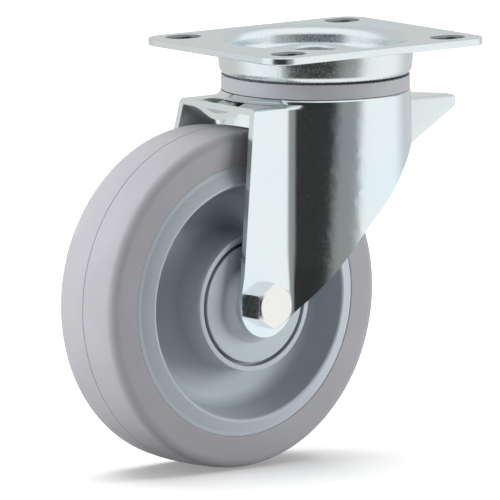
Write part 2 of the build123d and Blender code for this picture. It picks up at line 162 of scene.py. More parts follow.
class CastorWheel(bpy.types.PropertyGroup):
    """Section of the moulded wheel centre and its guards."""

    lip_drop: length("Lip drop", "From the tyre's seat in to the lip's inner edge", 0.0055)
    lip_reach: length("Lip reach", "How far the lip stands out from the wheel's middle", 0.025)
    land: length("Land", "Width of the flat ring between the tyre and the lip's cone", 0.0022)
    edge: length("Edge", "Bevel at the lip's inner edge", 0.001)
    wall: length("Rim wall", "Slope of the bowl's wall from lip to web", 0.005)
    web: length("Web", "Thickness of the web between rim and hub", 0.009)
    bowl: length("Bowl radius", "Fillet between the web and the walls beside it", 0.008)
    hub_radius: length("Hub radius", "Outside radius of the hub", 0.0325)
    hub_ring: length("Hub ring", "Width of the ring at the hub's end", 0.0025)
    pocket: length("Pocket", "Depth of the recess in the hub's end, down to the bearing", 0.004)
    bearing_radius: length("Bearing radius", "Radius of the bearing's seat", 0.02352)
    bearing_width: length("Bearing width", "Width of one bearing", 0.014)
    bore_radius: length("Bore radius", "Radius of the bore between the bearings", 0.0217)
    guard_thickness: length("Guard thickness", "Thickness of a thread guard's disc", 0.003)
    guard_root: length("Guard cone root", "Radius of the guard's cone at the disc", 0.019)
    guard_tip: length("Guard cone tip", "Radius of the guard's cone at the fork leg", 0.014)
    guard_bore: length("Guard bore", "Radius of the guard's hole, on the axle sleeve", 0.00992)
    guard_spigot: length(
        "Guard spigot", "Radius of the guard's foot on the bearing's inner ring", 0.0136)


class CastorPlate(bpy.types.PropertyGroup):
    """Section of the top plate, its dish and its cup."""

    corner: length("Corner", "Radius of the plate's corners", 0.012)
    sheet: length("Sheet", "Thickness of the plate", 0.0035)
    edge: length("Edge", "Round on the plate's cut edges", 0.0006)
    slot_edge: length("Slot edge", "Round on the edges of the bolt slots", 0.0011)
    slot_x: length("Slot place along X", "From the plate's middle to the middle of a slot", 0.048)
    slot_y: length("Slot place along Y", "From the plate's middle to the middle of a slot", 0.0395)
    slot_length: length("Slot length", "Length of a bolt slot over its ends", 0.016)
    slot_width: length("Slot width", "Width of a bolt slot", 0.011)
    rim: length("Dish rim", "Radius at which the flat plate ends and the dish begins", 0.048)
    trough_outer: length(
        "Trough's outer wall", "Radius of the trough's outer wall at the plate's top", 0.042)
    trough_foot: length(
        "Outer wall's foot", "Radius of the outer wall at the trough's bottom", 0.0405)
    trough_depth: length(
        "Trough depth", "Depth of the trough round the dish's raised middle", 0.012)
    trough_inner: length(
        "Trough's inner foot", "Radius where the trough's inner slope begins", 0.034)
    floor_radius: length("Dish floor radius", "Radius of the dish's raised middle", 0.030)
    wall_top: length(
        "Cup wall's top", "Radius of the cup's inner wall where it leaves the dish's middle", 0.029)
    wall_foot: length("Cup wall's foot", "Radius of the cup's inner wall at its foot", 0.0305)
    cup_waist: length("Cup waist", "Depth at which the cup is widest", 0.0085)
    draw: length("Draw radius", "Round at the top and the foot of the trough's outer wall", 0.0056)
    cup_radius: length("Cup radius", "Outside radius of the drawn cup", 0.046)
    floor_depth: length("Dish floor", "Depth of the dish's middle, under the rivet's lip", 0.0075)
    bore: length("Bore", "Radius of the hole that the kingpin fills", 0.0133)
    track: length("Ball track", "Pitch radius of the upper ball track", 0.036)
    ball: length("Track radius", "Radius of the ball track's groove", 0.00465)


class CastorFork(bpy.types.PropertyGroup):
    """Crown, necks and collar of the pressed fork."""

    crown: length("Crown", "Radius of the round crown", 0.045)
    rise: length("Crown rise", "Height of the crown over the shelf", 0.0025)
    shelf_half: length("Shelf half width", "From the middle to the flat outside of a leg", 0.028)
    neck: length("Neck", "Radius where a leg runs into the round crown", 0.0135)
    neck_foot: length("Neck foot", "Radius of the neck at its lower end", 0.008)
    neck_depth: length("Neck depth", "From the shelf down to the end of the neck", 0.0835)
    flare_depth: length("Flare depth", "Depth over which the legs flare out", 0.076)
    leg_flare: length("Leg flare", "How much further out a leg is at the end of the flare", 0.009)
    crown_flare: length(
        "Crown flare", "How much the crown's radius grows, towards the wheel only", 0.007)
    fold: length("Fold", "Outside radius of the fold along the shelf", 0.0025)
    collar: length("Collar", "Width of the drawn round at the foot of the crown", 0.0042)


class CastorEdges(bpy.types.PropertyGroup):
    """Rounds on edges, and the seal's wall."""

    pressed: length("Pressed edge", "Round on the cut edges of the pressed steel", 0.0003)
    moulded: length("Moulded edge", "Round on the edges of moulded pieces", 0.0004)
    forged: length("Forged edge", "Round on the edges of the bolt and nut", 0.0002)
    seal_wall: length("Seal wall", "Thickness of the swivel seal's ring", 0.0033)


class CastorStage(bpy.types.PropertyGroup):
    """Camera, floor and light."""

    yaw: degrees("Yaw", "Turn of the camera about the swivel axis", 38.55)
    pitch: degrees("Pitch", "How far the camera looks down", 8.34)
    distance: length("Distance", "From the camera to the point that it looks at", 6.746)
    lens: FloatProperty(
        name="Lens", description="Focal length in millimetres on a 36 mm sensor",
        default=1030.2, unit="CAMERA")
    aim_right: length("Aim right", "Sideways place of the point looked at", -0.0308)
    aim_up: length("Aim up", "Height of the point looked at, from the plate's top face", -0.1013)
    floor_size: length("Floor", "Length of the floor's sides", 9.0)
    floor_lift: brightness("Floor lift", "Extra white that the camera sees on the floor", 0.27)
    lift_start: length(
        "Lift start", "Distance from the wheel's foot up to which the floor keeps its lift", 0.05)
    lift_end: length(
        "Lift end", "Distance from the wheel's foot from which the floor is pure white", 0.75)
    surround: brightness(
        "Surround", "Light that matt surfaces get from the white surroundings", 0.25)
    flag_dark: brightness("Flag", "Brightness of the dark flag in front", 0.035)
    flag_grey: brightness(
        "Flag's grey edge", "Brightness of the grey strip right of the dark flag", 0.33)
    flag_left: degrees("Flag left", "Left edge of the dark flag, from the camera", -38)
    flag_right: degrees("Flag right", "Right edge of the dark flag, from the camera", 27)
    grey_right: degrees("Grey right", "Right edge of the grey strip, from the camera", 57)
    side_right: degrees(
        "Right wall", "Where the bright wall on the right ends, from the camera", 122)
    side_left: degrees("Left wall", "Where the bright wall on the left ends, from the camera", -97)
    side_white: brightness("Walls", "Brightness of the side walls in the metal", 1.08)
    back_white: brightness("Back", "Brightness of the far wall in the metal", 0.70)
    flag_soft: degrees("Flag softness", "Half width of the flag's soft edges", 7)


# Materials


def principled(name):
    """New material with its node tree and its shader."""
    material = bpy.data.materials.new(name)
    material.use_nodes = True
    tree = material.node_tree
    return material, tree, tree.nodes["Principled BSDF"]


def noise(tree, scale, detail=2.0, roughness=0.5, stretch=None):
    """Noise in the piece's own coordinates, as a value from 0 to 1."""
    place = tree.nodes.new("ShaderNodeTexCoord")
    texture = tree.nodes.new("ShaderNodeTexNoise")
    texture.inputs["Scale"].default_value = scale
    texture.inputs["Detail"].default_value = detail
    texture.inputs["Roughness"].default_value = roughness
    source = place.outputs["Object"]
    if stretch:
        mapping = tree.nodes.new("ShaderNodeMapping")
        mapping.inputs["Scale"].default_value = stretch
        tree.links.new(source, mapping.inputs["Vector"])
        source = mapping.outputs["Vector"]
    tree.links.new(source, texture.inputs["Vector"])
    return texture.outputs["Fac"]


def ranged(tree, value, low, high, start=0.35, end=0.65):
    """Spread a noise value over the range from low to high."""
    node = tree.nodes.new("ShaderNodeMapRange")
    node.inputs["From Min"].default_value = start
    node.inputs["From Max"].default_value = end
    node.inputs["To Min"].default_value = low
    node.inputs["To Max"].default_value = high
    tree.links.new(value, node.inputs["Value"])
    return node.outputs["Result"]


def blended(tree, factor, first, second):
    """Colour between two colours."""
    node = tree.nodes.new("ShaderNodeMix")
    node.data_type = "RGBA"
    node.inputs["A"].default_value = (*first, 1)
    node.inputs["B"].default_value = (*second, 1)
    tree.links.new(factor, node.inputs["Factor"])
    return node.outputs["Result"]


def mottled(tree, shader, texture, first, second):
    """Let the shader's colour wander between two colours."""
    tone = ranged(tree, texture, 0, 1)
    tree.links.new(blended(tree, tone, first, second), shader.inputs["Base Color"])


def grained(tree, shader, texture, low, high):
    """Let the shader's roughness wander between two values."""
    tree.links.new(ranged(tree, texture, low, high), shader.inputs["Roughness"])


def bumped(tree, shader, layers):
    """Chain of bumps, each (height, strength, distance in metres)."""
    normal = None
    for height, strength, distance in layers:
        bump = tree.nodes.new("ShaderNodeBump")
        bump.inputs["Strength"].default_value = strength
        bump.inputs["Distance"].default_value = distance
        tree.links.new(height, bump.inputs["Height"])
        if normal:
            tree.links.new(normal, bump.inputs["Normal"])
        normal = bump.outputs["Normal"]
    tree.links.new(normal, shader.inputs["Normal"])


def shade(colour, factor):
    """The same colour, lighter or darker."""
    return tuple(min(1.0, part * factor) for part in colour)


def plated_steel(name, colour, warm, gloss, wave):
    """Bright zinc plating over pressed steel: faint tint, fine grain and slow waves in the sheet."""
    material, tree, shader = principled(name)
    shader.inputs["Metallic"].default_value = 1.0
    mottled(tree, shader, noise(tree, 16, 3), colour, warm)
    grained(tree, shader, noise(tree, 900, 4, 0.6), gloss * 0.8, gloss * 1.3)
    bumped(tree, shader, [
        (noise(tree, 26, 2), wave * 0.4, 0.0004),
        (noise(tree, 700, 3, 0.6, stretch=(1, 1, 0.15)), 0.16, 0.0001),
        (noise(tree, 1600, 3, 0.6), 0.025, 0.0001),
    ])
    return material


def ground_steel(name, colour):
    """Ground and hardened bearing steel."""
    material, tree, shader = principled(name)
    shader.inputs["Metallic"].default_value = 1.0
    mottled(tree, shader, noise(tree, 60, 2), colour, shade(colour, 1.1))
    grained(tree, shader, noise(tree, 1200, 3), 0.14, 0.24)
    bumped(tree, shader, [(noise(tree, 2200, 2), 0.04, 0.0001)])
    return material


def moulded_plastic(name, colour, roughness):
    """Satin plastic with a fine moulded grain."""
    material, tree, shader = principled(name)
    mottled(tree, shader, noise(tree, 22, 3), shade(colour, 0.97), shade(colour, 1.03))
    grained(tree, shader, noise(tree, 700, 3), roughness * 0.9, roughness * 1.1)
    bumped(tree, shader, [(noise(tree, 1400, 3), 0.06, 0.0002)])
    return material


def matt_rubber(name, colour, roughness):
    """Matt elastic rubber with faint mottling and a very fine grain."""
    material, tree, shader = principled(name)
    mottled(tree, shader, noise(tree, 30, 4, 0.6), shade(colour, 0.96), shade(colour, 1.04))
    grained(tree, shader, noise(tree, 900, 4), roughness * 0.92, roughness * 1.08)
    shader.inputs["Specular IOR Level"].default_value = 0.4
    bumped(tree, shader, [
        (noise(tree, 120, 2), 0.08, 0.0002),
        (noise(tree, 2200, 3), 0.10, 0.0001),
    ])
    return material


def castor_material(slot):
    """The material of one of the record's slots, made once."""
    name = "castor_" + slot
    found = bpy.data.materials.get(name)
    if found:
        return found
    finishes = bpy.context.scene.castor_finishes
    if slot == "zinc_plated_steel":
        return plated_steel(name, finishes.zinc, finishes.zinc_warm, gloss=0.16, wave=0.05)
    if slot == "bolt_steel":
        duller = shade(finishes.bolt, 0.96)
        return plated_steel(name, finishes.bolt, duller, gloss=0.22, wave=0.03)
    if slot == "bearing_steel":
        return ground_steel(name, finishes.steel)
    if slot == "wheel_plastic":
        return moulded_plastic(name, finishes.wheel, roughness=0.42)
    if slot == "seal_plastic":
        return moulded_plastic(name, finishes.seal, roughness=0.48)
    if slot == "tyre_rubber":
        return matt_rubber(name, finishes.rubber, roughness=0.62)
    if slot == "bearing_seal_rubber":
        return matt_rubber(name, finishes.black, roughness=0.55)
    if slot == "insert_plastic":
        return moulded_plastic(name, finishes.insert, roughness=0.40)
    raise ValueError("no finish is written for the slot " + slot)


SLOT_OF = {part["node"]: part["material_slot"] for part in frame["record"]["subparts"]}
BODY_OF = {
    node: body
    for body, nodes in frame["record"]["behaviour"]["bodies"].items()
    for node in nodes
}


# Meshes


def rounded(corners):
    """Closed outline through corners given as (x, y, radius), each rounded by an arc."""
    points = []
    for i, (x, y, radius) in enumerate(corners):
        here = Vector((x, y))
        if radius < TINY:
            points.append(here)
            continue
        back = (Vector(corners[i - 1][:2]) - here).normalized()
        ahead = (Vector(corners[(i + 1) % len(corners)][:2]) - here).normalized()
        half = back.angle(ahead) / 2
        centre = here + (back + ahead).normalized() * (radius / math.sin(half))
        start = here + back * (radius / math.tan(half)) - centre
        end = here + ahead * (radius / math.tan(half)) - centre
        turn = math.atan2(start.x * end.y - start.y * end.x, start.dot(end))
        steps = max(2, math.ceil(abs(turn) / ARC_STEP))
        for step in range(steps + 1):
            angle = turn * step / steps
            swung = Vector((
                start.x * math.cos(angle) - start.y * math.sin(angle),
                start.x * math.sin(angle) + start.y * math.cos(angle),
            ))
            points.append(centre + swung)
    return points


def on_axle(radius, along, angle):
    """Point round the wheel's axle."""
    return Vector((AXLE.x + radius * math.sin(angle), along, AXLE.z + radius * math.cos(angle)))


def on_swivel(radius, along, angle):
    """Point round the swivel axis."""
    return Vector((radius * math.cos(angle), radius * math.sin(angle), along))


def turned(mesh, profile, place):
    """Rings of new vertices, one for each (radius, along) point of a profile."""
    return [
        [mesh.verts.new(place(radius, along, 2 * math.pi * i / AROUND)) for i in range(AROUND)]
        for radius, along in profile
    ]


def lathe(profile, place):
    """Mesh turned from a closed profile of (radius, along) points."""
    mesh = bmesh.new()
    rings = turned(mesh, profile, place)
    bridged(mesh, rings + rings[:1])
    bmesh.ops.recalc_face_normals(mesh, faces=mesh.faces)
    return mesh


def arc(centre, radius, start, end, steps):
    """Points on an arc, both ends included."""
    return [
        Vector((
            centre[0] + radius * math.cos(start + (end - start) * i / steps),
            centre[1] + radius * math.sin(start + (end - start) * i / steps),
        ))
        for i in range(steps + 1)
    ]


def corner_loop(half_x, half_y, radius, steps):
    """Outline of a rectangle with round corners, about the origin."""
    points = []
    for i, (x, y) in enumerate(((1, 1), (-1, 1), (-1, -1), (1, -1))):
        centre = (x * (half_x - radius), y * (half_y - radius))
        points += arc(centre, radius, i * math.pi / 2, (i + 1) * math.pi / 2, steps)
    return points


def bridged(mesh, rings):
    """Join rings of equal length with quads, each ring closed, and give the faces back."""
    faces = []
    for first, second in zip(rings, rings[1:]):
        for i in range(len(first)):
            j = (i + 1) % len(first)
            faces.append(mesh.faces.new((first[i], first[j], second[j], second[i])))
    return faces


def strip(mesh, sections):
    """Closed solid through equal sections, with a cap at each end."""
    rings = [[mesh.verts.new(point) for point in section] for section in sections]
    bridged(mesh, rings)
    mesh.faces.new(rings[0])
    mesh.faces.new(rings[-1])


def add_piece(name, mesh, nodes):
    """Put a mesh into the scene as a piece that stands for CAD nodes and rides with their body."""
    data = bpy.data.meshes.new(name)
    mesh.to_mesh(data)
    mesh.free()
    data.polygons.foreach_set("use_smooth", [True] * len(data.polygons))
    data.set_sharp_from_angle(angle=SHARP_ANGLE)
    piece = bpy.data.objects.new(name, data)
    bpy.context.scene.collection.objects.link(piece)
    slot = SLOT_OF[nodes[0]]
    data.materials.append(castor_material(slot))
    weights = piece.modifiers.new("face_weights", "WEIGHTED_NORMAL")
    weights.keep_sharp = True
    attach(piece, BODY_OF[nodes[0]])
    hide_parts(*nodes)
    return piece


def eased_copy(node, width, crease):
    """The solid's own form, as a new mesh whose edges sharper than the crease are rounded."""
    flat = math.radians(0.05)
    mesh = bmesh.new()
    mesh.from_mesh(NODES[node].data)
    bmesh.ops.remove_doubles(mesh, verts=mesh.verts, dist=WELD)
    bmesh.ops.dissolve_degenerate(mesh, edges=mesh.edges, dist=WELD)
    bmesh.ops.dissolve_limit(
        mesh, angle_limit=flat, verts=mesh.verts, edges=mesh.edges, use_dissolve_boundaries=False)
    sharp = [e for e in mesh.edges if len(e.link_faces) == 2 and e.calc_face_angle(0) > crease]
    bmesh.ops.bevel(
        mesh, geom=sharp, offset=width, offset_type="OFFSET", segments=2, profile=0.5,
        affect="EDGES", clamp_overlap=True)
    bmesh.ops.recalc_face_normals(mesh, faces=mesh.faces)
    return mesh


# Operators


class CASTOR_OT_plain_nodes(bpy.types.Operator):
    """Give every part of the frame its finish"""

    bl_idname = "castor.plain_nodes"
    bl_label = "Finish the frame's parts"

    def execute(self, context):
        finishes = context.scene.castor_finishes
        dull = plated_steel(
            "castor_rivet", finishes.zinc, finishes.zinc_warm, gloss=0.4, wave=0.05)
        for name, node in NODES.items():
            material = dull if name == "kingpin" else castor_material(SLOT_OF[name])
            node.data.materials.clear()
            node.data.materials.append(material)
        return {"FINISHED"}


class CASTOR_OT_tyre(bpy.types.Operator):
    """Make the tyre with its crowned tread, shoulders and fine mould line"""

    bl_idname = "castor.tyre"
    bl_label = "Tyre"

    def execute(self, context):
        size = context.scene.castor_tyre
        seat = WHEEL_RADIUS - size.depth
        edge = context.scene.castor_edges.moulded
        line = size.line_width / 2
        line_floor = 0.4 * line
        shoulder = WHEEL_RADIUS - size.crown
        tread = []
        steps = 12
        run = TYRE_HALF - size.shoulder
        for step in range(1, steps):
            along = -run + (run - line) * step / steps
            tread.append((WHEEL_RADIUS - size.crown * (along / TYRE_HALF) ** 2, along, 0))
        middle = [
            (WHEEL_RADIUS, -line, 0),
            (WHEEL_RADIUS - size.line_depth, -line_floor, 0),
            (WHEEL_RADIUS - size.line_depth, line_floor, 0),
            (WHEEL_RADIUS, line, 0),
        ]
        mirrored = [(radius, -along, 0) for radius, along, _ in reversed(tread)]
        corners = [
            (seat, -TYRE_HALF + size.bevel, 0),
            (seat + size.bevel_rise, -TYRE_HALF, edge),
            (shoulder, -TYRE_HALF, size.shoulder),
            *tread, *middle, *mirrored,
            (shoulder, TYRE_HALF, size.shoulder),
            (seat + size.bevel_rise, TYRE_HALF, edge),
            (seat, TYRE_HALF - size.bevel, 0),
        ]
        add_piece("tyre_moulded", lathe(rounded(corners), on_axle), ["tyre"])
        return {"FINISHED"}


class CASTOR_OT_wheel_centre(bpy.types.Operator):
    """Make the moulded wheel centre with its raised lip, dished web and hub"""

    bl_idname = "castor.wheel_centre"
    bl_label = "Wheel centre"

    def execute(self, context):
        size = context.scene.castor_wheel
        tyre = context.scene.castor_tyre
        edge = context.scene.castor_edges.moulded
        seat = WHEEL_RADIUS - tyre.depth
        line = seat + tyre.bevel_rise
        lip = seat - size.lip_drop
        web = size.web / 2
        pocket = HUB_HALF - size.pocket
        half = [
            (seat, TYRE_HALF - tyre.bevel, 0),
            (line - TINY, TYRE_HALF - edge, edge),
            (line - size.land, TYRE_HALF + edge, edge),
            (lip + size.edge, size.lip_reach, size.edge),
            (lip, size.lip_reach - size.edge, size.edge / 2),
            (lip - size.wall, web, size.bowl),
            (size.hub_radius + size.edge, web, size.bowl),
            (size.hub_radius, HUB_HALF, edge),
            (size.hub_radius - size.hub_ring, HUB_HALF, edge),
            (size.hub_radius - size.hub_ring, pocket, 0),
            (size.bearing_radius, pocket, 0),
            (size.bearing_radius, pocket - size.bearing_width, 0),
            (size.bore_radius, pocket - size.bearing_width, 0),
        ]
        mirrored = [(radius, -along, fillet) for radius, along, fillet in reversed(half)]
        mesh = lathe(rounded(half + mirrored), on_axle)
        add_piece("wheel_centre_moulded", mesh, ["wheel_centre"])
        return {"FINISHED"}


class CASTOR_OT_thread_guards(bpy.types.Operator):
    """Make the two discs in the hub's mouths, each with its cone to the fork leg"""

    bl_idname = "castor.thread_guards"
    bl_label = "Thread guards"

    def execute(self, context):
        size = context.scene.castor_wheel
        edge = context.scene.castor_edges.moulded
        pocket = HUB_HALF - size.pocket
        for name, side in (("near", -1), ("far", 1)):
            corners = [
                (size.guard_bore, side * LEG_INSIDE, 0),
                (size.guard_tip, side * LEG_INSIDE, edge),
                (size.guard_root, side * HUB_HALF, edge * 2),
                (GUARD_RADIUS, side * HUB_HALF, edge),
                (GUARD_RADIUS, side * (HUB_HALF - size.guard_thickness), 0),
                (size.guard_spigot, side * (HUB_HALF - size.guard_thickness), 0),
                (size.guard_spigot, side * pocket, 0),
                (size.guard_bore, side * pocket, 0),
            ]
            mesh = lathe(rounded(corners), on_axle)
            add_piece(name + "_guard_moulded", mesh, [name + "_thread_guard"])
        return {"FINISHED"}


class CASTOR_OT_swivel_seal(bpy.types.Operator):
    """Make the seal ring that hides the upper balls"""

    bl_idname = "castor.swivel_seal"
    bl_label = "Swivel seal"

    def execute(self, context):
        edges = context.scene.castor_edges
        outer = SEAL_HIGH.x
        inner = outer - edges.seal_wall
        corners = [
            (inner, SEAL_LOW.z, edges.moulded / 2),
            (outer, SEAL_LOW.z, edges.moulded / 2),
            (outer, SEAL_HIGH.z, edges.moulded),
            (inner, SEAL_HIGH.z, edges.moulded / 2),
        ]
        add_piece("swivel_seal_ring", lathe(rounded(corners), on_swivel), ["swivel_seal"])
        return {"FINISHED"}


class CASTOR_OT_top_plate(bpy.types.Operator):
    """Make the slotted plate with its drawn dish and the cup under it"""

    bl_idname = "castor.top_plate"
    bl_label = "Top plate"

    def execute(self, context):
        size = context.scene.castor_plate
        mesh = bmesh.new()
        low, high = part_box("top_plate")
        corner_steps = 12
        slot_steps = 8

        def outline(inset):
            return corner_loop(
                high.x - inset, high.y - inset, size.corner - inset, corner_steps)

        def slot(inset):
            half_width = size.slot_width / 2 + inset
            return corner_loop(
                size.slot_length / 2 + inset, half_width, half_width - TINY, slot_steps)

        ends = [self.cut_wall(mesh, size.sheet, size.edge, outline, (0, 0), 0)]
        for x in (-size.slot_x, size.slot_x):
            for y in (-size.slot_y, size.slot_y):
                ends.append(self.cut_wall(mesh, size.sheet, size.slot_edge, slot, (x, y), 1))
        rings = turned(mesh, self.dish(size, low.z), on_swivel)
        bridged(mesh, rings)
        ends.append((rings[0], rings[-1]))
        for outlines in zip(*ends):
            edges = [
                mesh.edges.get((ring[i - 1], ring[i]))
                for ring in outlines for i in range(len(ring))
            ]
            bmesh.ops.triangle_fill(mesh, use_beauty=True, edges=edges, normal=(0, 0, 1))
        bmesh.ops.remove_doubles(mesh, verts=mesh.verts, dist=WELD)
        bmesh.ops.recalc_face_normals(mesh, faces=mesh.faces)
        piece = add_piece("top_plate_pressed", mesh, ["top_plate"])
        finishes = context.scene.castor_finishes
        piece.data.materials[0] = plated_steel(
            "castor_plate", finishes.zinc, finishes.zinc_warm, gloss=0.25, wave=0.04)
        # Slot walls and their rounded top edges take this darker material: partly the duller sheared
        # steel, partly painted shade inside the slots
        darker = shade(finishes.sheared_and_shade, 0.8)
        piece.data.materials.append(plated_steel(
            "castor_slots_sheared_and_painted_shade", finishes.sheared_and_shade, darker, gloss=0.3, wave=0.05))
        return {"FINISHED"}

    @staticmethod
    def cut_wall(mesh, sheet, radius, loop, middle, material):
        """Wall through the sheet along a loop, rounded at both ends; gives its end rings back."""
        steps = 5
        upper = [(p.x, p.y) for p in arc((radius, -radius), radius, math.pi / 2, math.pi, steps)]
        section = upper + [(inset, -sheet - z) for inset, z in reversed(upper)]
        rings = [
            [mesh.verts.new((middle[0] + p.x, middle[1] + p.y, z)) for p in loop(inset)]
            for inset, z in section
        ]
        for face in bridged(mesh, rings):
            face.material_index = material
        return rings[0], rings[-1]

    @staticmethod
    def dish(size, foot):
        """Section from the plate's top over the dish, round the bore and out along the cup."""
        cup = size.cup_radius
        wall = size.sheet
        under = -size.floor_depth - wall
        foot_draw = size.draw / 3
        wall_round, tip_round = 0.001, 0.0008
        foot_taper, top_taper = 0.0007, 0.0004
        foot_round, side_round, top_round = 0.0042, 0.008, 0.0016
        track_lift = 0.0006
        middle = (size.track, foot - size.ball + track_lift)
        track = arc(middle, size.ball, math.radians(150), math.radians(30), 12)
        return rounded([
            (size.rim, 0, 0),
            (size.trough_outer, 0, size.draw),
            (size.trough_foot, -size.trough_depth, size.draw),
            (size.trough_inner, -size.trough_depth, foot_draw),
            (size.floor_radius, -size.floor_depth, foot_draw),
            (size.bore, -size.floor_depth, 0),
            (size.bore, under, 0),
            (size.wall_top, under, wall_round),
            (size.wall_foot, foot, tip_round),
            *[(point.x, point.y, 0) for point in track],
            (cup - foot_taper, foot, foot_round),
            (cup, -size.cup_waist, side_round),
            (cup - top_taper, -wall, top_round),
            (size.rim, -wall, 0),
        ])


class CASTOR_OT_fork(bpy.types.Operator):
    """Ease the edges of the pressed fork, and lay its necks and the crown's collar on it"""

    bl_idname = "castor.fork"
    bl_label = "Fork"

    def execute(self, context):
        size = context.scene.castor_fork
        width = context.scene.castor_edges.pressed
        mesh = eased_copy("fork", width, crease=math.radians(50))
        shelf = CROWN_TOP - size.rise
        self.collar(mesh, size, shelf)
        for side in (-1, 1):
            self.neck(mesh, size, shelf, side)
        bmesh.ops.recalc_face_normals(mesh, faces=mesh.faces)
        add_piece("fork_pressed", mesh, ["fork"])
        return {"FINISHED"}

    @staticmethod
    def neck(mesh, size, shelf, side):
        """Concave round between a leg and the crown, with the shelf's fold carried round its top."""
        lap = 0.0003
        skin = 0.00003
        within = 0.001
        fold_steps = 10
        leg_steps = 30
        arc_steps = 16
        fold = size.fold
        drops = [1 - math.cos(math.pi / 2 * i / fold_steps) for i in range(fold_steps + 1)]
        depths = [fold * drop for drop in drops]
        depths += [
            fold + (size.neck_depth - fold) * i / leg_steps for i in range(1, leg_steps + 1)
        ]
        sections = []
        for depth in depths:
            flare = min(1, depth / size.flare_depth)
            inset = fold - math.sqrt(max(0, fold ** 2 - max(0, fold - depth) ** 2))
            half = size.shelf_half + size.leg_flare * flare - inset
            crown = size.crown + size.crown_flare * flare
            middle = Vector((-size.crown_flare * flare, 0))
            # The radius shrinks over the last fifth of the neck
            fade = max(0, (depth - 0.8 * size.neck_depth) / (0.2 * size.neck_depth))
            radius = size.neck + (size.neck_foot - size.neck) * fade
            run = math.sqrt((crown + radius) ** 2 - (half + radius) ** 2)
            centre = Vector((middle.x - run, half + radius))
            inward = (middle - centre).normalized()
            end = math.atan2(inward.y, inward.x)
            points = arc(centre, radius, -math.pi / 2, end, arc_steps)
            points.insert(0, Vector((points[0].x - lap, half - skin)))
            along = Vector((-inward.y, inward.x))
            points.append(points[-1] + inward * skin + along * lap)
            back = [point + (point - centre).normalized() * within for point in reversed(points)]
            level = shelf - depth + skin
            sections.append([Vector((point.x, side * point.y, level)) for point in points + back])
        strip(mesh, sections)

    @staticmethod
    def collar(mesh, size, shelf):
        """Drawn round between the shelf and the foot of the crown."""
        within = 0.001
        below = 0.0008
        skin = 0.00005
        hollow = 2.2
        least_turn = 0.1
        half_steps = 24
        curve_steps = 8
        sections = []
        flat = size.shelf_half - size.fold
        limit = math.asin(flat / size.crown)
        for i in range(2 * half_steps + 1):
            turn = limit * (i / half_steps - 1)
            # The collar narrows where the shelf's edge comes near the crown
            reach = flat / max(abs(math.sin(turn)), least_turn)
            width = min(size.collar, reach - size.crown)
            # Its top lies just under the crown's, and lower where it has little room
            top = size.rise * 0.9 * min(1, 2 * width / size.collar)
            section = [(size.crown - within, top)]
            for k in range(curve_steps + 1):
                t = k / curve_steps
                section.append((size.crown + width * t, top * (1 - t) ** hollow))
            section.append((size.crown - within, -below))
            sections.append([on_swivel(r, shelf + z + skin, math.pi + turn) for r, z in section])
        strip(mesh, sections)


class CASTOR_OT_axle_fasteners(bpy.types.Operator):
    """Ease the edges of the axle bolt and its locking nut"""

    bl_idname = "castor.axle_fasteners"
    bl_label = "Axle bolt and nut"

    def execute(self, context):
        width = context.scene.castor_edges.forged
        for name in ("axle_bolt", "axle_nut"):
            mesh = eased_copy(name, width, crease=math.radians(20))
            add_piece(name + "_forged", mesh, [name])
        return {"FINISHED"}


# Light

LAMP_TARGET = Vector((-0.04, 0, -0.10))

# Soft boxes: name, place, size of a side, power, lights the floor instead of the castor
LAMPS = (
    ("left_box", (-1.3, 0.48, 0.36), 1.0, 38.0, False),
    ("near_right_box", (0.25, -0.42, -0.07), 0.3, 2.9, False),
    ("top_box", (0.1, 0.6, 1.1), 0.8, 17.0, False),
    ("floor_box", (0.06, 0.3, 1.2), 1.7, 34.0, True),
)

# Angles over the horizon at which the dark flag has ended, and at which it is still full
FLAG_TOP = (math.radians(32), math.radians(16))
FLAG_FOOT = (math.radians(-40), math.radians(-28))


def new_light(name, place, size, power):
    """Square soft box that faces the castor and isn't seen in its metal."""
    data = bpy.data.lights.new(name, "AREA")
    data.shape = "SQUARE"
    data.size = size
    data.energy = power
    lamp = bpy.data.objects.new(name, data)
    bpy.context.scene.collection.objects.link(lamp)
    lamp.location = place
    lamp.rotation_euler = (LAMP_TARGET - Vector(place)).to_track_quat("-Z", "Y").to_euler()
    lamp.visible_glossy = False
    return lamp


